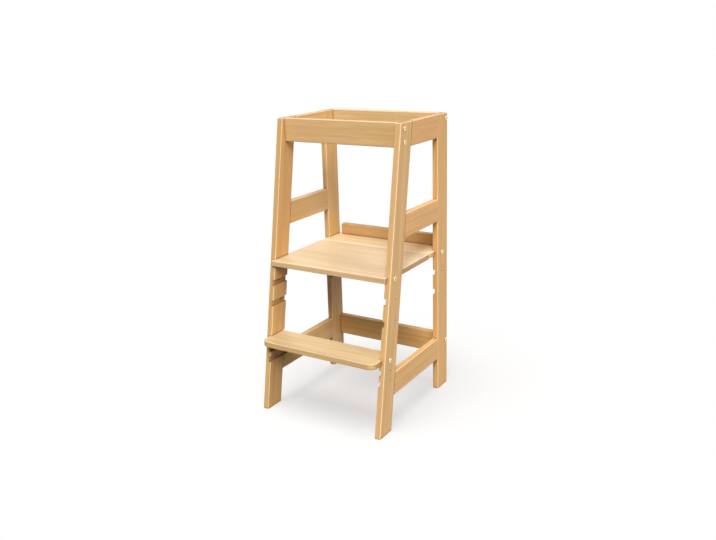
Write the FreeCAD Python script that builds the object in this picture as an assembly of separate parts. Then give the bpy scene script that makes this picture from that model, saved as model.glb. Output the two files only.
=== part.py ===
import FreeCAD, Part
import math
import os

# Toddler kitchen helper stool: a solid beech learning tower.
# Two side frames carry a standing platform and a step, each in one of three pairs of grooves.
# Millimetres.  +X is the child's right seen from the front, +Y the back, +Z up.
# The origin lies on the floor under the middle of the tower.

V = FreeCAD.Vector
X_AXIS = V(1, 0, 0)
Y_AXIS = V(0, 1, 0)
Z_AXIS = V(0, 0, 1)

# ---- overall sizes ----
overall_height = 900.0
overall_width = 428.0
foot_span = 452.0            # front foot's front edge to rear foot's rear edge
front_leg_lean = 154.0       # how far the front leg comes back over its height

# ---- stock ----
frame_stock = 19.0           # thickness of legs and rails
board_stock = 18.0           # thickness of platform, step and heel stop
leg_width = 67.6
rail_height = 71.0
edge_round = 2.5             # roundover along the legs and rails
board_round = 2.5            # roundover around the boards

# ---- rails ----
middle_rail_top = 640.0
lower_rail_top = 177.0
front_rail_setback = 10.0    # behind the leg's front edge, at the top

# ---- grooves in the legs ----
groove_depth = 7.5
groove_play = 0.6            # over the board's thickness
board_end_play = 0.5         # between a board's end and the groove's floor
platform_groove_z = 464.0    # middle of the highest platform groove
platform_pitch = 64.0
step_groove_z = 225.5        # middle of the highest step groove
step_pitch = 33.0
step_groove_run = 12.0       # behind the step's rear edge, on into the lower side rail
heights = 3

# ---- platform, step and heel stop ----
platform_front_y = -158.0
platform_depth = 280.0
rear_board_depth = 110.0
step_front_y = -232.0
step_depth = 106.0
board_corner_radius = 25.0
stop_height = 38.0
stop_end_gap = 13.0          # between the heel stop's end and the rear leg
stop_corner_radius = 6.0

# ---- furniture bolts and threaded inserts ----
bolt_radius = 3.0
bolt_hole_play = 0.25
bolt_head_radius = 8.0
bolt_head_height = 2.4
socket_across_flats = 4.0
socket_depth = 2.0
rail_bolt_length = 60.0
board_bolt_length = 35.0
bolt_tip_room = 1.0
insert_radius = 5.0          # brass sleeve in a board's end that a board bolt screws into
insert_length = 13.0
insert_play = 0.15
insert_bore_play = 0.2
platform_bolt_front_y = -123.0
platform_bolt_rear_y = 188.5
step_bolt_y = -158.0
front_bolt_spacing = 39.0
rear_top_bolt_rise = 19.5    # above the rail's middle
rear_lower_bolt_rise = 13.0

# ---- joinery ----
tenon_thickness = 6.0
tenon_length = 20.0
tenon_shoulder = 11.0        # from a side rail's edge to its tenon, above and below
tenon_groove_wall = 1.0      # wood left between a groove's floor and a mortise
stub_thickness = 9.0         # stub tenons at the rear rails' ends
stub_length = 11.0
stub_height = 24.0
stub_drop = 15.0             # from the rail's middle down to the stub's
joint_play = 0.15            # glue room around tenons and tongues
joint_end_room = 1.0
tongue_thickness = 6.0       # loose tongue in the seam between the platform boards
tongue_width = 28.0
tongue_end_gap = 32.0        # between the tongue's end and the board's
stop_tongue_thickness = 8.0  # tongue along the foot of the heel stop
stop_tongue_depth = 7.0
stop_tongue_shoulder = 12.0  # from the heel stop's end to its tongue

# ---- modelling limits ----
past_face = 5.0              # how far a cutter runs on past the face that it opens
least_alignment = 0.97       # cosine from which an edge counts as running along an axis
least_edge_turn = 0.1        # radians between two faces from which their edge counts as sharp

# ---- what follows from them ----
half_width = overall_width / 2
inner_x = half_width - frame_stock
half_foot_span = foot_span / 2
lean_angle = math.atan2(front_leg_lean, overall_height)
front_leg_depth = leg_width / math.cos(lean_angle)
rear_leg_front_y = half_foot_span - leg_width
board_half_length = inner_x + groove_depth - board_end_play
groove_height = board_stock + groove_play
platform_bottom_z = platform_groove_z - groove_height / 2
platform_top_z = platform_bottom_z + board_stock
step_bottom_z = step_groove_z - groove_height / 2
step_rear_y = step_front_y + step_depth
seam_y = platform_front_y + platform_depth
platform_rear_y = seam_y + rear_board_depth
front_rail_front_y = -half_foot_span + front_leg_lean + front_rail_setback
front_rail_y = front_rail_front_y + frame_stock / 2
rear_rail_y = half_foot_span - frame_stock / 2
top_rail_z = overall_height - rail_height / 2
lower_rail_z = lower_rail_top - rail_height / 2
stop_y = platform_rear_y - board_stock / 2
bolt_hole_radius = bolt_radius + bolt_hole_play
tenon_x = inner_x + groove_depth + tenon_groove_wall
board_middle = board_stock / 2 - groove_height / 2   # a board rests on its groove's lower face
platform_middle_z = platform_groove_z + board_middle
step_middle_z = step_groove_z + board_middle
platform_heights = [platform_groove_z - i * platform_pitch for i in range(heights)]
side_rail_tops = (overall_height, middle_rail_top, lower_rail_top)
step_heights = [step_groove_z - i * step_pitch for i in range(heights)]
front_bolt_places = [(front_rail_y, top_rail_z + s * front_bolt_spacing / 2) for s in (1, -1)]
rear_bolt_places = [(rear_rail_y, top_rail_z + rear_top_bolt_rise),
                    (rear_rail_y, lower_rail_z + rear_lower_bolt_rise)]
rear_rail_tops = (overall_height, lower_rail_top)


def front_leg_front_y(z):
    return -half_foot_span + front_leg_lean * z / overall_height


def front_leg_rear_y(z):
    return front_leg_front_y(z) + front_leg_depth


# ---- building blocks ----
def block(x0, x1, y0, y1, z0, z1):
    return Part.makeBox(x1 - x0, y1 - y0, z1 - z0, V(x0, y0, z0))


def cylinder(radius, start, axis, length):
    return Part.makeCylinder(radius, length, start, axis)


def side_profile(corners, x0, x1):
    """A flat board seen from the side, from (y, z) corners, between two x planes."""
    points = [V(x0, y, z) for y, z in corners]
    outline = Part.makePolygon(points + points[:1])
    return Part.Face(outline).extrude(V(x1 - x0, 0, 0))


def long_edges(shape, axis, least):
    """Straight edges that run along an axis and are longer than a given length."""
    found = []
    for edge in shape.Edges:
        along = edge.Vertexes[-1].Point - edge.Vertexes[0].Point
        if along.Length > least and abs(along.normalize() * axis) > least_alignment:
            found.append(edge)
    return found


def sharp_edges(shape):
    """Edges where two faces meet at an angle, so not the seams of a rounded corner."""
    found = []
    for edge in shape.Edges:
        middle = edge.valueAt((edge.FirstParameter + edge.LastParameter) / 2)
        faces = shape.ancestorsOfType(edge, Part.Face)
        normals = [face.normalAt(*face.Surface.parameter(middle)) for face in faces]
        if normals[0].getAngle(normals[-1]) > least_edge_turn:
            found.append(edge)
    return found


def rounded_along(shape, axis, radius, least):
    return shape.makeFillet(radius, long_edges(shape, axis, least))


def mirrored(shape):
    return shape.mirror(V(0, 0, 0), X_AXIS)


def both_sides(shapes):
    return shapes + [mirrored(shape) for shape in shapes]


def cut_all(shape, tools):
    return shape.cut(Part.makeCompound(tools)) if tools else shape


# ---- fasteners: each is made at the place that its hole is cut for ----
def bolt(y, z, length):
    """Flat-headed furniture bolt with a hex socket, driven in along -X from the right face."""
    seat = V(half_width, y, z)
    head = cylinder(bolt_head_radius, seat, X_AXIS, bolt_head_height)
    shank = cylinder(bolt_radius, seat, X_AXIS * -1, length)
    return head.fuse(shank).cut(hex_socket(seat + X_AXIS * bolt_head_height))


def hex_socket(mouth):
    corner_radius = socket_across_flats / 2 / math.cos(math.pi / 6)
    floor = mouth - X_AXIS * socket_depth
    turns = [i * math.pi / 3 for i in range(6)]
    points = [floor + V(0, math.cos(a), math.sin(a)) * corner_radius for a in turns]
    return Part.Face(Part.makePolygon(points + points[:1])).extrude(X_AXIS * (socket_depth + past_face))


def bolt_hole(y, z, length):
    """Bore for a bolt, from outside the right face to just past its tip."""
    reach = length + bolt_tip_room
    return cylinder(bolt_hole_radius, V(half_width - reach, y, z), X_AXIS, reach + past_face)


def threaded_insert(y, z):
    """Sleeve flush with a board's right end, its bore round the bolt."""
    start = V(board_half_length - insert_length, y, z)
    sleeve = cylinder(insert_radius, start, X_AXIS, insert_length)
    return sleeve.cut(cylinder(bolt_radius + insert_bore_play, start, X_AXIS, insert_length))


def insert_hole(y, z):
    start = V(board_half_length - insert_length, y, z)
    return cylinder(insert_radius + insert_play, start, X_AXIS, insert_length + past_face)


# ---- glued joints: each is the tenon or tongue itself, or with play its mortise or groove ----
def tenon_space(top_z, play, end_room):
    """The two tenons of a side rail as one bar, from inside one leg to inside the other."""
    low_z = top_z - rail_height + tenon_shoulder - play
    high_z = top_z - tenon_shoulder + play
    reach = tenon_length + end_room
    corners = [(front_leg_rear_y(low_z) - reach, low_z), (rear_leg_front_y + reach, low_z),
               (rear_leg_front_y + reach, high_z), (front_leg_rear_y(high_z) - reach, high_z)]
    return side_profile(corners, tenon_x - play, tenon_x + tenon_thickness + play)


def mortises():
    return [tenon_space(z, joint_play, joint_end_room) for z in side_rail_tops]


def stub_space(top_z, play, end_room):
    """The stub tenons at both ends of a rear rail as one bar."""
    half_length = inner_x + stub_length + end_room
    half_thickness = stub_thickness / 2 + play
    half_height = stub_height / 2 + play
    z = top_z - rail_height / 2 - stub_drop
    return block(-half_length, half_length, rear_rail_y - half_thickness, rear_rail_y + half_thickness,
                 z - half_height, z + half_height)


def stop_tongue(play, end_room):
    """Tongue under the heel stop, or the groove for it in the rear board."""
    half_length = inner_x - stop_end_gap - stop_tongue_shoulder + end_room
    half_thickness = stop_tongue_thickness / 2 + play
    low_z = platform_top_z - stop_tongue_depth - end_room
    return block(-half_length, half_length, stop_y - half_thickness, stop_y + half_thickness,
                 low_z, platform_top_z + past_face)


def tongue(play, end_room):
    """Loose tongue between the two platform boards, or the groove for it."""
    half_length = board_half_length - tongue_end_gap + end_room
    half_width_y = tongue_width / 2 + end_room
    half_thickness = tongue_thickness / 2 + play
    return block(-half_length, half_length, seam_y - half_width_y, seam_y + half_width_y,
                 platform_middle_z - half_thickness, platform_middle_z + half_thickness)


# ---- legs ----
def grooves(levels, rear_y):
    return [block(inner_x - past_face, inner_x + groove_depth, -foot_span, rear_y,
                  z - groove_height / 2, z + groove_height / 2) for z in levels]


def platform_grooves():
    return grooves(platform_heights, foot_span)


def step_grooves():
    return grooves(step_heights, step_rear_y + step_groove_run)


def adjusting_holes(y, levels):
    return [bolt_hole(y, z + board_middle, board_bolt_length) for z in levels]


def rounded_leg(leg):
    """Leg with its edges rounded over, but for those round its foot."""
    return leg.makeFillet(edge_round, [e for e in leg.Edges if e.CenterOfMass.z > edge_round])


def front_leg():
    corners = [(front_leg_front_y(0), 0), (front_leg_rear_y(0), 0),
               (front_leg_rear_y(overall_height), overall_height),
               (front_leg_front_y(overall_height), overall_height)]
    leg = rounded_leg(side_profile(corners, inner_x, half_width))
    tools = platform_grooves() + step_grooves() + mortises()
    tools += adjusting_holes(platform_bolt_front_y, platform_heights)
    tools += adjusting_holes(step_bolt_y, step_heights)
    tools += [bolt_hole(y, z, rail_bolt_length) for y, z in front_bolt_places]
    return cut_all(leg, tools)


def rear_leg():
    leg = rounded_leg(block(inner_x, half_width, rear_leg_front_y, half_foot_span, 0, overall_height))
    tools = platform_grooves() + mortises()
    tools += [stub_space(z, joint_play, joint_end_room) for z in rear_rail_tops]
    tools += adjusting_holes(platform_bolt_rear_y, platform_heights)
    tools += [bolt_hole(y, z, rail_bolt_length) for y, z in rear_bolt_places]
    return cut_all(leg, tools)


# ---- rails ----
def side_rail(top_z):
    """Rail between the legs of one side frame, its front shoulder cut to the leaning leg."""
    low_z = top_z - rail_height
    corners = [(front_leg_rear_y(low_z), low_z), (rear_leg_front_y, low_z),
               (rear_leg_front_y, top_z), (front_leg_rear_y(top_z), top_z)]
    rail = side_profile(corners, inner_x, half_width)
    rail = rounded_along(rail, Y_AXIS, edge_round, leg_width)
    return cut_all(rail.fuse(tenon_space(top_z, 0, 0)).removeSplitter(), step_grooves())


def cross_rail(middle_y, top_z):
    low_z = top_z - rail_height
    rail = block(-inner_x, inner_x, middle_y - frame_stock / 2, middle_y + frame_stock / 2, low_z, top_z)
    return rounded_along(rail, X_AXIS, edge_round, inner_x)


def front_rail():
    bores = [bolt_hole(y, z, rail_bolt_length) for y, z in front_bolt_places]
    return cut_all(cross_rail(front_rail_y, overall_height), both_sides(bores))


def rear_rail(top_z):
    rail = cross_rail(rear_rail_y, top_z).fuse(stub_space(top_z, 0, 0)).removeSplitter()
    bores = [bolt_hole(y, z, rail_bolt_length) for y, z in rear_bolt_places]
    return cut_all(rail, both_sides(bores))


# ---- boards ----
def board(y0, y1, z0):
    return block(-board_half_length, board_half_length, y0, y1, z0, z0 + board_stock)


def front_corners_rounded(shape):
    corners = [e for e in long_edges(shape, Z_AXIS, board_stock / 2)
               if e.CenterOfMass.y < shape.CenterOfMass.y]
    return shape.makeFillet(board_corner_radius, corners)


def rounded_all_over(shape):
    return shape.makeFillet(board_round, sharp_edges(shape))


def end_bores(places, z):
    """Bolt and insert bores in both ends of a board."""
    bores = [bolt_hole(y, z, board_bolt_length) for y in places]
    bores += [insert_hole(y, z) for y in places]
    return both_sides(bores)


def platform_board():
    shape = rounded_all_over(board(platform_front_y, seam_y, platform_bottom_z))
    tools = end_bores([platform_bolt_front_y], platform_middle_z)
    return cut_all(shape, tools + [tongue(joint_play, joint_end_room)])


def platform_rear_board():
    shape = front_corners_rounded(board(seam_y, platform_rear_y, platform_bottom_z))
    tools = end_bores([platform_bolt_rear_y], platform_middle_z)
    tools += [tongue(joint_play, joint_end_room), stop_tongue(joint_play, joint_end_room)]
    return cut_all(rounded_all_over(shape), tools)


def step_board():
    shape = front_corners_rounded(board(step_front_y, step_rear_y, step_bottom_z))
    return cut_all(rounded_all_over(shape), end_bores([step_bolt_y], step_middle_z))


def heel_stop():
    """Upright strip along the platform's rear edge, with rounded upper corners."""
    half = inner_x - stop_end_gap
    low_z = platform_top_z
    strip = block(-half, half, platform_rear_y - board_stock, platform_rear_y, low_z, low_z + stop_height)
    ends = [e for e in long_edges(strip, Y_AXIS, board_stock / 2) if e.CenterOfMass.z > low_z]
    strip = strip.makeFillet(stop_corner_radius, ends)
    rims = [e for e in sharp_edges(strip) if e.CenterOfMass.z > low_z]
    return strip.makeFillet(board_round, rims).fuse(stop_tongue(0, 0)).removeSplitter()


# ---- sets of like fasteners ----
def rail_bolts(places):
    return Part.makeCompound(both_sides([bolt(y, z, rail_bolt_length) for y, z in places]))


def inserts(places, z):
    return Part.makeCompound(both_sides([threaded_insert(y, z) for y in places]))


def sided(nodes, name, shape):
    nodes[name + "_right"] = shape
    nodes[name + "_left"] = mirrored(shape)


def build():
    nodes = {}
    sided(nodes, "front_leg", front_leg())
    sided(nodes, "rear_leg", rear_leg())
    for place, top_z in zip(("top", "middle", "lower"), side_rail_tops):
        sided(nodes, place + "_side_rail", side_rail(top_z))
    nodes["front_top_rail"] = front_rail()
    for place, top_z in zip(("top", "lower"), rear_rail_tops):
        nodes["rear_" + place + "_rail"] = rear_rail(top_z)
    nodes["platform_board"] = platform_board()
    nodes["platform_rear_board"] = platform_rear_board()
    nodes["heel_stop"] = heel_stop()
    nodes["step_board"] = step_board()
    nodes["platform_tongue"] = tongue(0, 0)
    nodes["front_rail_bolts"] = rail_bolts(front_bolt_places)
    nodes["rear_rail_bolts"] = rail_bolts(rear_bolt_places)
    nodes["platform_inserts"] = inserts([platform_bolt_front_y, platform_bolt_rear_y], platform_middle_z)
    nodes["step_inserts"] = inserts([step_bolt_y], step_middle_z)
    sided(nodes, "platform_front_bolt", bolt(platform_bolt_front_y, platform_middle_z, board_bolt_length))
    sided(nodes, "platform_rear_bolt", bolt(platform_bolt_rear_y, platform_middle_z, board_bolt_length))
    sided(nodes, "step_bolt", bolt(step_bolt_y, step_middle_z, board_bolt_length))
    return nodes


def main():
    os.makedirs("parts", exist_ok=True)
    for name, shape in build().items():
        if not shape.isValid():
            raise ValueError("invalid solid: " + name)
        shape.exportStep("parts/" + name + ".step")
        print(name, len(shape.Solids), round(shape.Volume / 1000, 1), "cm3")


main()
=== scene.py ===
"""Looks of a beech kitchen helper stool, laid out as an add-on and run as a script."""
import math

import bpy
from bpy.props import FloatProperty, FloatVectorProperty, IntProperty, PointerProperty
from mathutils import Matrix, Vector


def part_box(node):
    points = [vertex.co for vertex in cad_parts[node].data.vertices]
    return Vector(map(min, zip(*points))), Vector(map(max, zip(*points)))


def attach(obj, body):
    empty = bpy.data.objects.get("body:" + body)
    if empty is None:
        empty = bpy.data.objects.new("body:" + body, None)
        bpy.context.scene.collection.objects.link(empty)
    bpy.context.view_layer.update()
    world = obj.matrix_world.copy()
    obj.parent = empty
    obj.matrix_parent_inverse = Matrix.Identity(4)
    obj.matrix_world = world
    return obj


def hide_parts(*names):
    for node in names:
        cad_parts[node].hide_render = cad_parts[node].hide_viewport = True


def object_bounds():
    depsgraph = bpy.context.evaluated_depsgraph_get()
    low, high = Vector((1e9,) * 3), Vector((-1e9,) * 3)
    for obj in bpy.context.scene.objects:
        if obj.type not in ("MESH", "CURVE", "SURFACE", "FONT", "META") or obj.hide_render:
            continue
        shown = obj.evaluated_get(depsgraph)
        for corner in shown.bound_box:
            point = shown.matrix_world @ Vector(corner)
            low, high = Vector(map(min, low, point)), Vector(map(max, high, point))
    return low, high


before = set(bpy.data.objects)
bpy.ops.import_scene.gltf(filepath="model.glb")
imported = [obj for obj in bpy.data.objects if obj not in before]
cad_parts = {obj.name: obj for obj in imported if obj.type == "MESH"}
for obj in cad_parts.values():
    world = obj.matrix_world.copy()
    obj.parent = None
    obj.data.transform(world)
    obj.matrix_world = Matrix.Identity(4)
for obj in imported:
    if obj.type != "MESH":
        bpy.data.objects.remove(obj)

bl_info = {
    "name": "Kitchen Helper Stool",
    "version": (1, 0, 0),
    "blender": (4, 5, 0),
    "location": "3D View > Sidebar > Helper Stool",
    "description": "Beech, bolts and a photo stage for a toddler's kitchen helper stool",
    "category": "Object",
}

MM = 0.001
CAD_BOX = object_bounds()
PHOTO_WIDTH = 716
PHOTO_HEIGHT = 540

# The front legs lean back by 154 mm over the tower's 900 mm.
FRONT_LEG_LEAN = math.atan2(154, 900)

# The way each piece's grain runs, as the turn that brings that way onto Z.
GRAIN_TURNS = {
    "upright": (0, 0, 0),
    "leaning": (FRONT_LEG_LEAN, 0, 0),
    "sideways": (0, -math.pi / 2, 0),
    "backwards": (math.pi / 2, 0, 0),
}

FRAME_PIECES = {
    "front_leg_left": "leaning",
    "front_leg_right": "leaning",
    "rear_leg_left": "upright",
    "rear_leg_right": "upright",
    "top_side_rail_left": "backwards",
    "top_side_rail_right": "backwards",
    "middle_side_rail_left": "backwards",
    "middle_side_rail_right": "backwards",
    "lower_side_rail_left": "backwards",
    "lower_side_rail_right": "backwards",
    "front_top_rail": "sideways",
    "rear_top_rail": "sideways",
    "rear_lower_rail": "sideways",
}

# Each piece's own tone as shares of red, green and blue: partly a paler, darker or redder log than the
# rest, and partly painted shade on pieces that stand in shade, such as the left legs and rails, and painted
# light on the pale board tops.
LOG_AND_SHADE_TONES = {
    "platform_board": (1.0, 1.07, 1.22),
    "platform_rear_board": (1.24, 1.34, 1.48),
    "step_board": (0.94, 0.95, 0.94),
    "heel_stop": (0.8, 0.78, 0.74),
    "front_top_rail": (1.07, 1.09, 1.13),
    "rear_top_rail": (1, 1.1, 1.2),
    "rear_lower_rail": (1.0, 0.95, 0.78),
    "front_leg_left": (0.9, 0.85, 0.77),
    "front_leg_right": (1.04, 1.02, 1.02),
    "rear_leg_left": (0.97, 0.98, 0.95),
    "rear_leg_right": (1.04, 0.97, 0.84),
    "middle_side_rail_left": (0.9, 0.93, 0.96),
    "top_side_rail_right": (1.08, 0.98, 0.89),
    "middle_side_rail_right": (1.1, 1.01, 0.94),
    "lower_side_rail_left": (0.86, 0.84, 0.78),
    "lower_side_rail_right": (1.03, 0.96, 0.86),
}

BOARD_PIECES = (
    "platform_board", "platform_rear_board", "step_board", "heel_stop", "platform_tongue",
)

ADJUSTING_BOLTS = (
    "platform_front_bolt_left", "platform_front_bolt_right",
    "platform_rear_bolt_left", "platform_rear_bolt_right",
    "step_bolt_left", "step_bolt_right",
)
RAIL_BOLTS = ("front_rail_bolts", "rear_rail_bolts")

# Each piece's grain is drawn from a seed of its own, counted up from these.
FRAME_SEED = 1
BOARD_SEED = 21

# Settings of the Mix nodes that blend two colours, and of those that multiply one by a tint.
BLEND = {"data_type": "RGBA"}
TINT = {"data_type": "RGBA", "blend_type": "MULTIPLY"}

# A wave texture repeats every 0.314 of its own units.
WAVE_PERIOD = 0.314


def linear(hex_colour):
    """Linear red, green and blue of an sRGB hex colour."""
    parts = [int(hex_colour[i:i + 2], 16) / 255 for i in (0, 2, 4)]
    return tuple(p / 12.92 if p <= 0.04045 else ((p + 0.055) / 1.055) ** 2.4 for p in parts)


def add(tree, kind, inputs=None, **settings):
    """Adds a node. Each input takes a value, or the socket, node or list of nodes that feeds it.

    An input is called by its name, or by its number among those that the node's settings leave on."""
    node = tree.nodes.new(kind)
    for name, value in settings.items():
        setattr(node, name, value)
    shown = [socket for socket in node.inputs if socket.enabled]
    for key, value in (inputs or {}).items():
        socket = shown[key] if isinstance(key, int) else node.inputs[key]
        for source in value if isinstance(value, list) else [value]:
            if isinstance(source, bpy.types.Node):
                source = next(output for output in source.outputs if output.enabled)
            if isinstance(source, bpy.types.NodeSocket):
                tree.links.new(source, socket)
            else:
                socket.default_value = source
    return node


# ---- settings ----
class BeechSettings(bpy.types.PropertyGroup):
    """Colours and pattern sizes of the beech"""

    pale: FloatVectorProperty(
        name="Earlywood", description="Pale wood between the ring lines",
        subtype="COLOR", default=linear("E6BE84"))
    dark: FloatVectorProperty(
        name="Latewood", description="Darker wood along the ring lines",
        subtype="COLOR", default=linear("D0A065"))
    fleck: FloatVectorProperty(
        name="Flecks", description="Short brown ray flecks of beech",
        subtype="COLOR", default=linear("A8733C"))
    # Pale worn wood along the rounded edges, which also serves as a painted highlight where they catch the
    # light.
    wear_highlight: FloatVectorProperty(
        name="Worn edges", description="Pale wood along the handled edges",
        subtype="COLOR", default=linear("FCE8CA"))
    edge_wear_and_highlight: FloatProperty(
        name="Edge wear", description="How far the rounded edges turn to the worn colour",
        default=0.7, min=0, max=1, subtype="FACTOR")
    # Board tops paler from scrubbing and from painted light from above.
    scrubbed_and_lit: FloatVectorProperty(
        name="Scrubbing",
        description="How much paler the boards' upper faces are, in red, green and blue",
        default=(1.07, 1.23, 1.56))
    ring_spacing: FloatProperty(
        name="Ring spacing", description="From one growth ring to the next",
        default=4.5 * MM, min=0.5 * MM, unit="LENGTH")
    streak_width: FloatProperty(
        name="Streak width", description="Width of the broad tone streaks along the grain",
        default=9 * MM, min=0.5 * MM, unit="LENGTH")
    fibre_width: FloatProperty(
        name="Fibre width", description="Width of the fine lines along the grain",
        default=1.2 * MM, min=0.1 * MM, unit="LENGTH")
    fleck_spacing: FloatProperty(
        name="Fleck spacing", description="Distance between ray flecks across the grain",
        default=2.4 * MM, min=0.2 * MM, unit="LENGTH")
    stave_width: FloatProperty(
        name="Stave width", description="Width of the strips that a wide board is glued up from",
        default=56 * MM, min=10 * MM, unit="LENGTH")
    # Painted shade and grime reach this far out of a joint or from under an overhang.
    crevice_shade_reach: FloatProperty(
        name="Crevice reach", description="How far the darker tone reaches out of a joint",
        default=13 * MM, min=0, unit="LENGTH")
    roughness: FloatProperty(
        name="Lacquer roughness", description="Roughness of the satin lacquer",
        default=0.5, min=0, max=1, subtype="FACTOR")


class BoltSettings(bpy.types.PropertyGroup):
    """Sizes and colour of the furniture bolts"""

    head_height: FloatProperty(
        name="Head height", description="How far the head stands out of the wood",
        default=2.4 * MM, unit="LENGTH")
    rim_height: FloatProperty(
        name="Rim height", description="Upright part of the head's edge",
        default=0.9 * MM, unit="LENGTH")
    shank_radius: FloatProperty(
        name="Shank radius", description="Outer radius of shank and thread",
        default=3 * MM, unit="LENGTH")
    rail_bolt_length: FloatProperty(
        name="Rail bolt length", description="Shank length of the bolts in the rails",
        default=60 * MM, unit="LENGTH")
    thread_length: FloatProperty(
        name="Thread length", description="Threaded part of the shank",
        default=22 * MM, unit="LENGTH")
    thread_pitch: FloatProperty(
        name="Thread pitch", description="From one turn of the thread to the next",
        default=1 * MM, unit="LENGTH")
    socket_width: FloatProperty(
        name="Socket width", description="Across the flats of the hex socket",
        default=4 * MM, unit="LENGTH")
    socket_depth: FloatProperty(
        name="Socket depth", description="Depth of the hex socket",
        default=2 * MM, unit="LENGTH")
    sides: IntProperty(
        name="Sides", description="Facets round the head and shank",
        default=48, min=8, max=128)
    plating: FloatVectorProperty(
        name="Plating", description="Colour of the zinc plating where it is rubbed bright",
        subtype="COLOR", default=linear("FBE3B4"))
    # The rim's brown is a painted reflection of the wood beside the head.
    rim: FloatVectorProperty(
        name="Rim", description="Colour of the zinc plating on the head's dull rim",
        subtype="COLOR", default=linear("9C7038"))
    brass: FloatVectorProperty(
        name="Brass", description="Colour of the threaded inserts",
        subtype="COLOR", default=linear("D9B765"))


class StageSettings(bpy.types.PropertyGroup):
    """Camera, light and floor of the photo stage"""

    azimuth: FloatProperty(
        name="Azimuth", description="Camera's turn round the tower",
        default=math.radians(31.7), subtype="ANGLE")
    elevation: FloatProperty(
        name="Elevation", description="Camera's angle above the horizon",
        default=math.radians(15.528), subtype="ANGLE")
    roll: FloatProperty(
        name="Roll", description="Camera's turn about its own line of sight",
        default=math.radians(-1.599), subtype="ANGLE")
    distance: FloatProperty(
        name="Distance", description="From the camera to its aim",
        default=2423.04 * MM, unit="LENGTH")
    aim: FloatVectorProperty(
        name="Aim", description="Point that the camera looks at",
        default=(28.483 * MM, 0, 507.935 * MM), subtype="TRANSLATION")
    focal_pixels: FloatProperty(
        name="Focal length", description="Focal length in pixels of the photograph",
        default=783.852, subtype="PIXEL")
    centre: FloatVectorProperty(
        name="Optical centre", description="Where the line of sight meets the photograph",
        size=2, default=(361.156, 245.912))
    sky: FloatProperty(
        name="Sky", description="Strength of the even light from all round", default=0.12, min=0)
    key: FloatProperty(
        name="Key lamp", description="Strength of the high lamp in front", default=3.3, min=0)
    side: FloatProperty(
        name="Side lamp", description="Strength of the lamp on the right", default=1.25, min=0)
    fill: FloatProperty(
        name="Fill lamp", description="Strength of the low lamp behind on the left",
        default=3.2, min=0)
    above: FloatProperty(
        name="Floor lamp", description="Strength of the lamp above, which lights the floor alone",
        default=2.6, min=0)
    softness: FloatProperty(
        name="Softness", description="How wide the lamps look from the tower",
        default=math.radians(28), subtype="ANGLE")
    floor_softness: FloatProperty(
        name="Floor lamp softness", description="How wide the floor lamp looks from the floor",
        default=math.radians(44), subtype="ANGLE")
    floor: FloatVectorProperty(
        name="Floor", description="Colour of the floor as the tower sees it",
        subtype="COLOR", default=linear("606060"))
    shadow: FloatProperty(
        name="Shadow", description="How much of the tower's shadow shows on the floor",
        default=0.38, min=0, max=1, subtype="FACTOR")


class StoolSettings(bpy.types.PropertyGroup):
    """All settings of the kitchen helper stool"""

    beech: PointerProperty(
        name="Beech", description="Colours and pattern sizes of the beech", type=BeechSettings)
    bolts: PointerProperty(
        name="Bolts", description="Sizes and colour of the furniture bolts", type=BoltSettings)
    stage: PointerProperty(
        name="Stage", description="Camera, light and floor of the photo stage", type=StageSettings)


# ---- materials ----
# What end grain, and then oil and dust with painted shade in a crevice, leave of the wood's red, green and
# blue.
END_GRAIN_TINT = (0.74, 0.66, 0.58, 1)
GRIME_AND_SHADE_TINT = (0.24, 0.16, 0.1, 1)
SCUFF_SIZE = 0.8 * MM
# Real turned brass has rings about 0.1 mm apart: these are as coarse as they need to be to show.
LATHE_FEED = 0.3 * MM


def new_material(name):
    """An empty material with its output and its Principled shader."""
    material = bpy.data.materials.new(name)
    material.use_nodes = True
    tree = material.node_tree
    tree.nodes.clear()
    shader = add(tree, "ShaderNodeBsdfPrincipled")
    add(tree, "ShaderNodeOutputMaterial", {"Surface": shader})
    return material, tree, shader


def grain_space(tree, grain, seed, stave_width):
    """Object coordinates turned so that the grain runs along Z, and each stave's own tone."""
    place = add(tree, "ShaderNodeTexCoord").outputs["Object"]
    # Each piece, and then each stave, is cut from its own place in the log.
    log = (83 * MM * math.sin(2.1 * seed), 61 * MM + 21 * MM * math.cos(1.7 * seed), 370 * MM * seed)
    turned = add(tree, "ShaderNodeMapping", {
        "Vector": place, "Rotation": GRAIN_TURNS[grain], "Location": log})
    if not stave_width:
        return turned, None
    across = add(tree, "ShaderNodeSeparateXYZ", {0: place}).outputs["Y"]
    share = add(tree, "ShaderNodeMath", {0: across, 1: stave_width}, operation="DIVIDE")
    number = add(tree, "ShaderNodeMath", {0: share}, operation="FLOOR")
    own = add(tree, "ShaderNodeMath", {0: number, 1: 7.3 * seed}, operation="ADD")
    chance = add(tree, "ShaderNodeTexWhiteNoise", {"W": own}, noise_dimensions="1D").outputs
    spread = add(tree, "ShaderNodeVectorMath", {
        0: chance["Color"], 1: (110 * MM, 70 * MM, 1900 * MM)}, operation="MULTIPLY")
    moved = add(tree, "ShaderNodeVectorMath", {0: turned, 1: spread}, operation="ADD")
    return moved, chance["Value"]


def end_grain(tree, grain):
    """1 on faces that cut across the grain, 0 on faces along it."""
    turn_x, turn_y, _ = GRAIN_TURNS[grain]
    along = Matrix.Rotation(-turn_y, 3, "Y") @ Matrix.Rotation(-turn_x, 3, "X") @ Vector((0, 0, 1))
    normal = add(tree, "ShaderNodeNewGeometry").outputs["Normal"]
    facing = add(tree, "ShaderNodeVectorMath", {0: normal, 1: along}, operation="DOT_PRODUCT")
    size = add(tree, "ShaderNodeMath", {0: facing.outputs["Value"]}, operation="ABSOLUTE")
    return add(tree, "ShaderNodeMapRange", {"Value": size, "From Min": 0.75, "From Max": 0.97})


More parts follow.
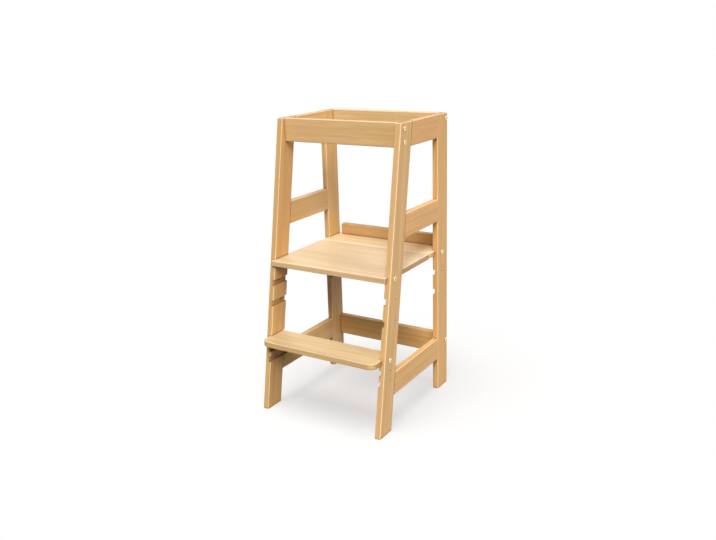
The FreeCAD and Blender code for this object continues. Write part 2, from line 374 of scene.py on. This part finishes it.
def rounded_edge(tree, has_round_corners):
    """1 on the roundovers along a piece's edges, 0 on its flat faces and round its corners in plan."""
    normal = add(tree, "ShaderNodeNewGeometry").outputs["Normal"]
    sizes = add(tree, "ShaderNodeVectorMath", {0: normal}, operation="ABSOLUTE")
    parts = add(tree, "ShaderNodeSeparateXYZ", {0: sizes}).outputs
    if has_round_corners:
        squared = add(tree, "ShaderNodeMath", {0: parts["Z"], 1: 2}, operation="POWER")
        level = add(tree, "ShaderNodeMath", {0: 1, 1: squared}, operation="SUBTRACT")
        level = add(tree, "ShaderNodeMath", {0: level}, operation="SQRT")
    else:
        level = add(tree, "ShaderNodeMath", {0: parts["X"], 1: parts["Y"]}, operation="MAXIMUM")
    flat = add(tree, "ShaderNodeMath", {0: level, 1: parts["Z"]}, operation="MAXIMUM")
    return add(tree, "ShaderNodeMapRange", {
        "Value": flat, "From Min": 0.8, "From Max": 0.97, "To Min": 1, "To Max": 0})


def upward(tree):
    """1 on faces that look straight up, 0 on the rest."""
    normal = add(tree, "ShaderNodeNewGeometry").outputs["Normal"]
    height = add(tree, "ShaderNodeSeparateXYZ", {0: normal}).outputs["Z"]
    return add(tree, "ShaderNodeMapRange", {"Value": height, "From Min": 0.85, "From Max": 0.99})


def beech_grain(tree, space, settings):
    """The bare wood's colour, and the ring lines and fibres that its bump and gloss follow."""
    # Each pattern is drawn out along the grain by its own share.
    short, long, longest = (
        add(tree, "ShaderNodeMapping", {"Vector": space, "Scale": (1, 1, share)})
        for share in (0.25, 0.05, 0.025))
    rings = add(tree, "ShaderNodeTexWave", {
        "Vector": long, "Scale": WAVE_PERIOD / settings.ring_spacing,
        "Distortion": 7, "Detail": 2, "Detail Scale": 0.22},
        wave_type="RINGS", rings_direction="Z", wave_profile="SAW").outputs["Fac"]
    streaks = add(tree, "ShaderNodeTexNoise", {
        "Vector": longest, "Scale": 1 / settings.streak_width, "Detail": 3, "Roughness": 0.6})
    # Real fibres are under 0.1 mm: these are as coarse as they need to be to show.
    fibres = add(tree, "ShaderNodeTexNoise", {
        "Vector": longest, "Scale": 1 / settings.fibre_width, "Detail": 3, "Roughness": 0.65})
    ring_tone = add(tree, "ShaderNodeMath", {0: rings, 1: 2.2}, operation="POWER")
    streak_tone = add(tree, "ShaderNodeMapRange", {
        "Value": streaks, "From Min": 0.3, "From Max": 0.7, "To Max": 0.75})
    latewood = add(tree, "ShaderNodeMath", {
        0: ring_tone, 1: 0.22, 2: streak_tone}, operation="MULTIPLY_ADD")
    colour = add(tree, "ShaderNodeMix", {
        0: latewood, 1: (*settings.pale, 1), 2: (*settings.dark, 1)}, **BLEND)
    fine = add(tree, "ShaderNodeMapRange", {
        "Value": fibres, "From Min": 0.3, "From Max": 0.7, "To Min": 0.9, "To Max": 1.06})
    colour = add(tree, "ShaderNodeMix", {0: 1, 1: colour, 2: fine}, **TINT)
    cells = add(tree, "ShaderNodeTexVoronoi", {
        "Vector": short, "Scale": 1 / settings.fleck_spacing}).outputs
    near = add(tree, "ShaderNodeMapRange", {
        "Value": cells["Distance"], "From Min": 0.1, "From Max": 0.2, "To Min": 0.6, "To Max": 0})
    # Half of the cells hold a fleck.
    chosen = add(tree, "ShaderNodeSeparateColor", {0: cells["Color"]})
    kept = add(tree, "ShaderNodeMath", {0: chosen, 1: 0.5}, operation="GREATER_THAN")
    fleck = add(tree, "ShaderNodeMath", {0: near, 1: kept}, operation="MULTIPLY")
    colour = add(tree, "ShaderNodeMix", {0: fleck, 1: colour, 2: (*settings.fleck, 1)}, **BLEND)
    return colour, rings, fibres


def beech_in_use(tree, colour, name, grain, stave, settings):
    """The wood's colour after it is sawn, glued up, handled and stood on, with painted highlights on its
    rounded edges and board tops and painted shade in its joints.
    """
    glued_up = stave is not None
    if glued_up:
        tone = add(tree, "ShaderNodeMapRange", {"Value": stave, "To Min": 0.96, "To Max": 1.04})
        colour = add(tree, "ShaderNodeMix", {0: 1, 1: colour, 2: tone}, **TINT)
    colour = add(tree, "ShaderNodeMix", {0: end_grain(tree, grain), 1: colour, 2: END_GRAIN_TINT}, **TINT)
    # The rounded edges are paler, as wear and as a painted highlight, and each piece has its own tone, from
    # its log and from painted shade or light.
    rounded = rounded_edge(tree, has_round_corners=glued_up)
    wear_highlight = add(tree, "ShaderNodeMath", {0: rounded, 1: settings.edge_wear_and_highlight}, operation="MULTIPLY")
    colour = add(tree, "ShaderNodeMix", {0: wear_highlight, 1: colour, 2: (*settings.wear_highlight, 1)}, **BLEND)
    if name in LOG_AND_SHADE_TONES:
        colour = add(tree, "ShaderNodeMix", {0: 1, 1: colour, 2: (*LOG_AND_SHADE_TONES[name], 1)}, **TINT)
    if glued_up:
        # The faces that are stood on are paler, partly scrubbed and partly painted light from above, and
        # their grain still shows.
        colour = add(tree, "ShaderNodeMix", {
            0: upward(tree), 1: colour, 2: (*settings.scrubbed_and_lit, 1)}, **TINT)
    # Painted shade, with oil and dust, darkens where two pieces meet and close under an overhang, but not
    # on the rounded edges, which carry a painted highlight.
    open_air = add(tree, "ShaderNodeAmbientOcclusion", {"Distance": settings.crevice_shade_reach}, samples=6)
    crevice_shade = add(tree, "ShaderNodeMapRange", {
        "Value": open_air.outputs["AO"], "From Min": 0.2, "From Max": 0.8, "To Min": 1, "To Max": 0})
    off_highlit_edges = add(tree, "ShaderNodeMath", {0: 1, 1: rounded}, operation="SUBTRACT")
    grime_and_shade = add(tree, "ShaderNodeMath", {0: crevice_shade, 1: off_highlit_edges}, operation="MULTIPLY")
    return add(tree, "ShaderNodeMix", {0: grime_and_shade, 1: colour, 2: GRIME_AND_SHADE_TINT}, **TINT)


def beech(name, grain, seed, settings, stave_width=0.0):
    """Steamed beech, planed and sanded, with a clear satin lacquer.

    It gives a warm honey face with faint ring lines, fine lines along the grain, short brown
    flecks, darker end grain and a soft sheen on faces seen at a low angle."""
    material, tree, shader = new_material("beech_lacquered_" + name)
    space, stave = grain_space(tree, grain, seed, stave_width)
    colour, rings, fibres = beech_grain(tree, space, settings)
    colour = beech_in_use(tree, colour, name, grain, stave, settings)
    rough = add(tree, "ShaderNodeMapRange", {
        "Value": fibres, "From Min": 0.25, "From Max": 0.75,
        "To Min": settings.roughness - 0.06, "To Max": settings.roughness + 0.08})
    height = add(tree, "ShaderNodeMath", {0: fibres, 1: 0.6, 2: rings}, operation="MULTIPLY_ADD")
    bump = add(tree, "ShaderNodeBump", {"Height": height, "Strength": 0.18, "Distance": 0.25 * MM})
    tree.links.new(colour.outputs[2], shader.inputs["Base Color"])
    tree.links.new(rough.outputs[0], shader.inputs["Roughness"])
    tree.links.new(bump.outputs[0], shader.inputs["Normal"])
    shader.inputs["IOR"].default_value = 1.4
    shader.inputs["Coat Weight"].default_value = 0.06
    shader.inputs["Coat Roughness"].default_value = 0.2
    return material


def yellow_zinc(settings):
    """Steel with yellow passivated zinc plating: a bright crown, and a rim painted brown as a reflection of
    the wood beside it.

    It gives a pale gold disc with a brown edge, and faint scuffs from barrel plating."""
    material, tree, shader = new_material("yellow_zinc_plated_steel")
    place = add(tree, "ShaderNodeTexCoord").outputs["Object"]
    scuffs = add(tree, "ShaderNodeTexNoise", {
        "Vector": place, "Scale": 1 / SCUFF_SIZE, "Detail": 4, "Roughness": 0.7})
    # Every bolt lies along X, so its head's face looks along X and its rim across it.
    normal = add(tree, "ShaderNodeNewGeometry").outputs["Normal"]
    sideways = add(tree, "ShaderNodeSeparateXYZ", {0: normal}).outputs["X"]
    outward = add(tree, "ShaderNodeMath", {0: sideways}, operation="ABSOLUTE")
    # The rim, which looks across X, gets the painted brown reflection.
    rim = add(tree, "ShaderNodeMapRange", {
        "Value": outward, "From Min": 0.3, "From Max": 0.75, "To Min": 1, "To Max": 0})
    tint = add(tree, "ShaderNodeMapRange", {
        "Value": scuffs, "From Min": 0.3, "From Max": 0.7, "To Min": 0.88})
    colour = add(tree, "ShaderNodeMix", {
        0: rim, 1: (*settings.plating, 1), 2: (*settings.rim, 1)}, **BLEND)
    colour = add(tree, "ShaderNodeMix", {0: 1, 1: colour, 2: tint}, **TINT)
    rough = add(tree, "ShaderNodeMapRange", {
        "Value": scuffs, "From Min": 0.3, "From Max": 0.7, "To Min": 0.22, "To Max": 0.38})
    bump = add(tree, "ShaderNodeBump", {"Height": scuffs, "Strength": 0.1, "Distance": 0.02 * MM})
    tree.links.new(colour.outputs[2], shader.inputs["Base Color"])
    tree.links.new(rough.outputs[0], shader.inputs["Roughness"])
    tree.links.new(bump.outputs[0], shader.inputs["Normal"])
    shader.inputs["Metallic"].default_value = 1
    return material


def turned_brass(settings):
    """Free-cutting brass, turned on a lathe: yellow metal with fine rings round its axis."""
    material, tree, shader = new_material("turned_brass")
    place = add(tree, "ShaderNodeTexCoord").outputs["Object"]
    # Every insert lies along X.
    grooves = add(tree, "ShaderNodeTexWave", {
        "Vector": place, "Scale": WAVE_PERIOD / LATHE_FEED, "Distortion": 0.5},
        wave_type="BANDS", bands_direction="X").outputs["Fac"]
    tint = add(tree, "ShaderNodeMapRange", {"Value": grooves, "To Min": 0.85})
    colour = add(tree, "ShaderNodeMix", {0: 1, 1: (*settings.brass, 1), 2: tint}, **TINT)
    rough = add(tree, "ShaderNodeMapRange", {"Value": grooves, "To Min": 0.25, "To Max": 0.4})
    tree.links.new(colour.outputs[2], shader.inputs["Base Color"])
    tree.links.new(rough.outputs[0], shader.inputs["Roughness"])
    shader.inputs["Metallic"].default_value = 1
    return material


def dress(node, material):
    """Gives a carried-over solid its material."""
    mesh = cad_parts[node].data
    mesh.materials.clear()
    mesh.materials.append(material)


# ---- furniture bolts ----
# Above its rim the head has a bevelled edge, a low crown and a flat top. These are the edge's share
# of that height, and the radii at the top of the edge and of the crown as shares of the head's.
EDGE_RISE = 0.6
EDGE_RADIUS = 0.9
CROWN_RADIUS = 0.66
# The thread's depth, as a share of its pitch.
THREAD_DEPTH = 0.48
# Points nearer than the weld are one, and edges that turn by more radians than the crease stay sharp.
WELD = 0.01 * MM
CREASE = 0.5

BOLT_INPUTS = (
    "Head Radius", "Head Height", "Rim Height", "Shank Radius", "Shank Length",
    "Thread Length", "Thread Pitch", "Socket Radius", "Socket Depth",
)


def turned_body(tree, sides, stations):
    """A closed round body along Z, through stations of radius and height from its foot to its top."""
    skins = []
    for (low_radius, low), (high_radius, high) in zip(stations, stations[1:]):
        # Two stations at one height make a flat ring.
        height = add(tree, "ShaderNodeMath", {0: high, 1: low}, operation="SUBTRACT")
        wall = add(tree, "GeometryNodeMeshCone", {
            "Vertices": sides, "Radius Bottom": low_radius, "Radius Top": high_radius, "Depth": height},
            fill_type="NONE")
        place = add(tree, "ShaderNodeCombineXYZ", {"Z": low})
        skins.append(add(tree, "GeometryNodeTransform", {"Geometry": wall, "Translation": place}))
    for radius, height in (stations[0], stations[-1]):
        disc = add(tree, "GeometryNodeMeshCircle", {"Vertices": sides, "Radius": radius}, fill_type="NGON")
        place = add(tree, "ShaderNodeCombineXYZ", {"Z": height})
        skins.append(add(tree, "GeometryNodeTransform", {"Geometry": disc, "Translation": place}))
    # A disc faces up, so the one at the foot is turned over.
    skins[-2] = add(tree, "GeometryNodeFlipFaces", {"Mesh": skins[-2]})
    body = add(tree, "GeometryNodeJoinGeometry", {0: skins})
    return add(tree, "GeometryNodeMergeByDistance", {"Geometry": body, "Distance": WELD})


def bolt_body(tree, size, sides, core_radius):
    """A plain shank and a thinner core under a low round head with a slight crown and a hex socket."""
    tip = add(tree, "ShaderNodeMath", {0: size["Shank Length"], 1: -1}, operation="MULTIPLY")
    thread_top = add(tree, "ShaderNodeMath", {0: tip, 1: size["Thread Length"]}, operation="ADD")
    above_rim = add(tree, "ShaderNodeMath", {
        0: size["Head Height"], 1: size["Rim Height"]}, operation="SUBTRACT")
    edge_top = add(tree, "ShaderNodeMath", {
        0: above_rim, 1: EDGE_RISE, 2: size["Rim Height"]}, operation="MULTIPLY_ADD")
    edge_radius = add(tree, "ShaderNodeMath", {
        0: size["Head Radius"], 1: EDGE_RADIUS}, operation="MULTIPLY")
    crown_radius = add(tree, "ShaderNodeMath", {
        0: size["Head Radius"], 1: CROWN_RADIUS}, operation="MULTIPLY")
    body = turned_body(tree, sides, (
        (core_radius, tip), (core_radius, thread_top), (size["Shank Radius"], thread_top),
        (size["Shank Radius"], 0), (size["Head Radius"], 0), (size["Head Radius"], size["Rim Height"]),
        (edge_radius, edge_top), (crown_radius, size["Head Height"])))
    socket_foot = add(tree, "ShaderNodeMath", {
        0: size["Head Height"], 1: size["Socket Depth"]}, operation="SUBTRACT")
    clear_of_head = add(tree, "ShaderNodeMath", {0: size["Head Height"], 1: 2}, operation="MULTIPLY")
    socket = turned_body(tree, 6, (
        (size["Socket Radius"], socket_foot), (size["Socket Radius"], clear_of_head)))
    return add(tree, "GeometryNodeMeshBoolean", {"Mesh 1": body, "Mesh 2": socket}, operation="DIFFERENCE")


def wound_thread(tree, size, depth, core_radius):
    """The thread's ridge, wound round the core between the tip and the plain shank."""
    length = add(tree, "ShaderNodeMath", {
        0: size["Thread Length"], 1: size["Thread Pitch"]}, operation="SUBTRACT")
    turns = add(tree, "ShaderNodeMath", {0: length, 1: size["Thread Pitch"]}, operation="DIVIDE")
    helix = add(tree, "GeometryNodeCurveSpiral", {
        "Resolution": 20, "Rotations": turns, "Start Radius": core_radius, "End Radius": core_radius,
        "Height": length})
    ridge = add(tree, "GeometryNodeCurvePrimitiveCircle", {"Resolution": 4, "Radius": depth}, mode="RADIUS")
    wound = add(tree, "GeometryNodeCurveToMesh", {
        "Curve": helix, "Profile Curve": ridge, "Fill Caps": True})
    foot = add(tree, "ShaderNodeMath", {0: depth, 1: size["Shank Length"]}, operation="SUBTRACT")
    place = add(tree, "ShaderNodeCombineXYZ", {"Z": foot})
    return add(tree, "GeometryNodeTransform", {"Geometry": wound, "Translation": place})


def bolt_tree(material, sides):
    """Bolts on every point of a mesh, each with its head towards the point's outward direction."""
    tree = bpy.data.node_groups.new("furniture_bolt", "GeometryNodeTree")
    tree.interface.new_socket("Seats", in_out="INPUT", socket_type="NodeSocketGeometry")
    for name in BOLT_INPUTS:
        tree.interface.new_socket(name, in_out="INPUT", socket_type="NodeSocketFloat")
    tree.interface.new_socket("Bolts", in_out="OUTPUT", socket_type="NodeSocketGeometry")
    size = add(tree, "NodeGroupInput").outputs
    depth = add(tree, "ShaderNodeMath", {0: size["Thread Pitch"], 1: THREAD_DEPTH}, operation="MULTIPLY")
    core_radius = add(tree, "ShaderNodeMath", {0: size["Shank Radius"], 1: depth}, operation="SUBTRACT")
    bolt = add(tree, "GeometryNodeJoinGeometry", {0: [
        bolt_body(tree, size, sides, core_radius), wound_thread(tree, size, depth, core_radius)]})
    smooth = add(tree, "GeometryNodeSetShadeSmooth", {"Geometry": bolt}, domain="FACE")
    angle = add(tree, "GeometryNodeInputMeshEdgeAngle").outputs["Unsigned Angle"]
    sharp = add(tree, "FunctionNodeCompare", {
        0: angle, 1: CREASE}, data_type="FLOAT", operation="GREATER_THAN")
    creased = add(tree, "GeometryNodeSetShadeSmooth", {
        "Geometry": smooth, "Selection": sharp, "Shade Smooth": False}, domain="EDGE")
    outward = add(tree, "GeometryNodeInputNamedAttribute", {
        "Name": "outward"}, data_type="FLOAT_VECTOR")
    turn = add(tree, "FunctionNodeAlignRotationToVector", {"Vector": outward}, axis="Z")
    placed = add(tree, "GeometryNodeInstanceOnPoints", {
        "Points": size["Seats"], "Instance": creased, "Rotation": turn})
    real = add(tree, "GeometryNodeRealizeInstances", {"Geometry": placed})
    plated = add(tree, "GeometryNodeSetMaterial", {"Geometry": real, "Material": material})
    add(tree, "NodeGroupOutput", {0: plated})
    return tree


def head_radius(node):
    """Half the depth of a node of bolts, which is one head's."""
    low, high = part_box(node)
    return (high.y - low.y) / 2


def bolt_seats(node, head_height):
    """Where the bolts of a node meet the wood, and which way each head faces."""
    low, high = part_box(node)
    radius = head_radius(node)
    heights = [low.z + radius]
    if high.z - low.z > 2 * radius + MM:
        heights.append(high.z - radius)
    # The heads are the tower's widest places, so a bolt is at each end that the node reaches.
    sides = [side for side, reach in ((1, high.x), (-1, -low.x)) if reach > CAD_BOX[1].x - MM]
    seat_x = CAD_BOX[1].x - head_height
    y = (low.y + high.y) / 2
    return [(Vector((side * seat_x, y, z)), Vector((side, 0, 0))) for side in sides for z in heights]


def make_bolts(node, body, tree, material, settings, length):
    """Turns the bolts of one node into a plain mesh that stands for it."""
    seats = bolt_seats(node, settings.head_height)
    mesh = bpy.data.meshes.new(node + "_seats")
    mesh.from_pydata([place for place, outward in seats], [], [])
    mesh.attributes.new("outward", "FLOAT_VECTOR", "POINT")
    for item, (place, outward) in zip(mesh.attributes["outward"].data, seats):
        item.vector = outward
    maker = bpy.data.objects.new(node + "_maker", mesh)
    bpy.context.scene.collection.objects.link(maker)
    values = {
        "Head Radius": head_radius(node), "Head Height": settings.head_height,
        "Rim Height": settings.rim_height, "Shank Radius": settings.shank_radius,
        "Shank Length": length, "Thread Length": settings.thread_length,
        "Thread Pitch": settings.thread_pitch, "Socket Depth": settings.socket_depth,
        "Socket Radius": settings.socket_width / 2 / math.cos(math.pi / 6),
    }
    modifier = maker.modifiers.new("bolts", "NODES")
    modifier.node_group = tree
    for item in tree.interface.items_tree:
        if item.name in values:
            modifier[item.identifier] = values[item.name]
    depsgraph = bpy.context.evaluated_depsgraph_get()
    made = bpy.data.meshes.new_from_object(maker.evaluated_get(depsgraph))
    bpy.data.objects.remove(maker)
    piece = bpy.data.objects.new(node + "_shown", made)
    bpy.context.scene.collection.objects.link(piece)
    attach(piece, body)
    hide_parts(node)


# ---- operators ----
class STOOL_OT_frame_wood(bpy.types.Operator):
    """Lacquered beech for the legs and rails, each piece with its own grain"""

    bl_idname = "stool.frame_wood"
    bl_label = "Legs and Rails"

    def execute(self, context):
        settings = context.scene.kitchen_stool.beech
        for seed, (node, grain) in enumerate(FRAME_PIECES.items(), start=FRAME_SEED):
            dress(node, beech(node, grain, seed, settings))
        return {"FINISHED"}


class STOOL_OT_board_wood(bpy.types.Operator):
    """Lacquered beech glued up from staves for the platform, step and heel stop"""

    bl_idname = "stool.board_wood"
    bl_label = "Platform and Step"

    def execute(self, context):
        settings = context.scene.kitchen_stool.beech
        for seed, node in enumerate(BOARD_PIECES, start=BOARD_SEED):
            low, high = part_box(node)
            staves = max(1, round((high.y - low.y) / settings.stave_width))
            # A piece of one stave needs no joints between staves.
            width = (high.y - low.y) / staves if staves > 1 else 0
            dress(node, beech(node, "sideways", seed, settings, width))
        return {"FINISHED"}


class STOOL_OT_bolts(bpy.types.Operator):
    """Zinc-plated furniture bolts in the rails, the platform and the step"""

    bl_idname = "stool.bolts"
    bl_label = "Furniture Bolts"

    def execute(self, context):
        settings = context.scene.kitchen_stool.bolts
        material = yellow_zinc(settings)
        tree = bolt_tree(material, settings.sides)
        for node in ADJUSTING_BOLTS:
            low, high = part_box(node)
            length = high.x - low.x - settings.head_height
            make_bolts(node, node, tree, material, settings, length)
        for node in RAIL_BOLTS:
            make_bolts(node, "frame", tree, material, settings, settings.rail_bolt_length)
        return {"FINISHED"}


class STOOL_OT_inserts(bpy.types.Operator):
    """Turned brass for the threaded inserts in the board ends"""

    bl_idname = "stool.inserts"
    bl_label = "Threaded Inserts"

    def execute(self, context):
        material = turned_brass(context.scene.kitchen_stool.bolts)
        for node in ("platform_inserts", "step_inserts"):
            dress(node, material)
        return {"FINISHED"}


class STOOL_OT_stage(bpy.types.Operator):
    """Camera at the photograph's angle, pale floor, soft light and white surroundings"""

    bl_idname = "stool.stage"
    bl_label = "Stage"

    def execute(self, context):
        settings = context.scene.kitchen_stool.stage
        context.scene.view_settings.view_transform = "Standard"
        place_camera(context.scene, settings)
        lay_floor(settings)
        light_stage(context.scene, settings)
        return {"FINISHED"}


# ---- stage ----
# From the tower to the floor's sides, in metres, which is past every view of it.
FLOOR_REACH = 30
# The floor gets this share of the floor lamp's strength, because the lamp is wide and leans.
FLOOR_LAMP_YIELD = 0.97


def seen_directly(tree):
    """1 for the camera and for reflections, 0 for the light that falls on things."""
    ray = add(tree, "ShaderNodeLightPath").outputs
    seen = add(tree, "ShaderNodeMath", {
        0: ray["Is Camera Ray"], 1: ray["Is Glossy Ray"]}, operation="MAXIMUM")
    return add(tree, "ShaderNodeMath", {0: seen, 1: ray["Is Transmission Ray"]}, operation="MAXIMUM")


def place_camera(scene, settings):
    """A camera at the photograph's angle, distance and framing."""
    azimuth, elevation, roll = settings.azimuth, settings.elevation, settings.roll
    right = Vector((math.cos(azimuth), math.sin(azimuth), 0))
    back = Vector((
        math.sin(azimuth) * math.cos(elevation), -math.cos(azimuth) * math.cos(elevation),
        math.sin(elevation)))
    up = back.cross(right)
    rolled_right = right * math.cos(roll) + up * math.sin(roll)
    rolled_up = up * math.cos(roll) - right * math.sin(roll)
    data = bpy.data.cameras.new("photo_camera")
    data.lens = settings.focal_pixels * data.sensor_width / PHOTO_WIDTH
    data.shift_x = (PHOTO_WIDTH / 2 - settings.centre[0]) / PHOTO_WIDTH
    data.shift_y = (settings.centre[1] - PHOTO_HEIGHT / 2) / PHOTO_WIDTH
    camera = bpy.data.objects.new("photo_camera", data)
    turn = Matrix((rolled_right, rolled_up, back)).transposed()
    place = Vector(settings.aim) + back * settings.distance
    camera.matrix_world = Matrix.LocRotScale(place, turn, None)
    scene.collection.objects.link(camera)
    scene.camera = camera


def lay_floor(settings):
    """A wide pale floor: the camera sees it white, with a share of the tower's shadow."""
    corners = [
        (x * FLOOR_REACH, y * FLOOR_REACH, 0) for x, y in ((-1, -1), (1, -1), (1, 1), (-1, 1))]
    mesh = bpy.data.meshes.new("floor")
    mesh.from_pydata(corners, [], [(0, 1, 2, 3)])
    material, tree, shader = new_material("matt_white_paper")
    seen = seen_directly(tree)
    # Its own glow and the light on it add up to white where nothing shades it.
    light_on_floor = settings.sky + FLOOR_LAMP_YIELD * settings.above / math.pi
    shaded = settings.shadow / light_on_floor
    paper = add(tree, "ShaderNodeMix", {
        0: seen, 1: (*settings.floor, 1), 2: (shaded, shaded, shaded, 1)}, **BLEND)
    glow = add(tree, "ShaderNodeMath", {0: seen, 1: 1 - settings.shadow}, operation="MULTIPLY")
    tree.links.new(paper.outputs[2], shader.inputs["Base Color"])
    tree.links.new(glow.outputs[0], shader.inputs["Emission Strength"])
    shader.inputs["Emission Color"].default_value = (1, 1, 1, 1)
    shader.inputs["Roughness"].default_value = 1
    shader.inputs["Specular IOR Level"].default_value = 0
    mesh.materials.append(material)
    floor = bpy.data.objects.new("floor", mesh)
    bpy.context.scene.collection.objects.link(floor)


def hang_lamp(scene, name, towards, strength, softness, floor_state, mirrored=True):
    """A soft lamp that lights the floor alone, or all but the floor."""
    lamp = bpy.data.lights.new(name, "SUN")
    lamp.energy = strength
    lamp.angle = softness
    holder = bpy.data.objects.new(name, lamp)
    holder.visible_glossy = mirrored
    holder.rotation_euler = Vector(towards).to_track_quat("Z", "Y").to_euler()
    scene.collection.objects.link(holder)
    lit = bpy.data.collections.new(name + "_lights")
    lit.objects.link(bpy.data.objects["floor"])
    lit.collection_objects[0].light_linking.link_state = floor_state
    holder.light_linking.receiver_collection = lit


def light_stage(scene, settings):
    """An even white room, which the camera and reflections see at full white, and the lamps."""
    world = bpy.data.worlds.new("white_room")
    world.use_nodes = True
    tree = world.node_tree
    tree.nodes.clear()
    strength = add(tree, "ShaderNodeMapRange", {"Value": seen_directly(tree), "To Min": settings.sky})
    light = add(tree, "ShaderNodeBackground", {"Color": (1, 1, 1, 1), "Strength": strength})
    add(tree, "ShaderNodeOutputWorld", {"Surface": light})
    scene.world = world
    # Each lamp hangs the way that its three numbers point from the tower.
    hang_lamp(scene, "key_lamp", (0.36, -0.72, 0.8), settings.key, settings.softness, "EXCLUDE")
    hang_lamp(scene, "side_lamp", (1, -0.1, 0.5), settings.side, settings.softness, "EXCLUDE")
    # The fill lamp's mirror image would bleach the boards, which the camera sees at a low angle.
    hang_lamp(scene, "fill_lamp", (-0.75, 0.65, 0.15), settings.fill, settings.softness, "EXCLUDE",
              mirrored=False)
    hang_lamp(scene, "floor_lamp", (0, -0.22, 1), settings.above, settings.floor_softness, "INCLUDE")


# ---- add-on ----
class STOOL_PT_panel(bpy.types.Panel):
    """Steps that finish the kitchen helper stool"""

    bl_label = "Helper Stool"
    bl_idname = "STOOL_PT_panel"
    bl_space_type = "VIEW_3D"
    bl_region_type = "UI"
    bl_category = "Helper Stool"

    def draw(self, context):
        for operator in OPERATORS:
            self.layout.operator(operator.bl_idname)


OPERATORS = (
    STOOL_OT_frame_wood, STOOL_OT_board_wood, STOOL_OT_bolts, STOOL_OT_inserts, STOOL_OT_stage,
)
CLASSES = (BeechSettings, BoltSettings, StageSettings, StoolSettings, *OPERATORS, STOOL_PT_panel)


def register():
    """Registers the classes and hangs the settings on the scene."""
    for cls in CLASSES:
        bpy.utils.register_class(cls)
    bpy.types.Scene.kitchen_stool = PointerProperty(type=StoolSettings)


def unregister():
    """Takes away what register added."""
    del bpy.types.Scene.kitchen_stool
    for cls in reversed(CLASSES):
        bpy.utils.unregister_class(cls)


def main():
    register()
    bpy.ops.stool.frame_wood()
    bpy.ops.stool.board_wood()
    bpy.ops.stool.bolts()
    bpy.ops.stool.inserts()
    bpy.ops.stool.stage()


if __name__ == "__main__":
    main()
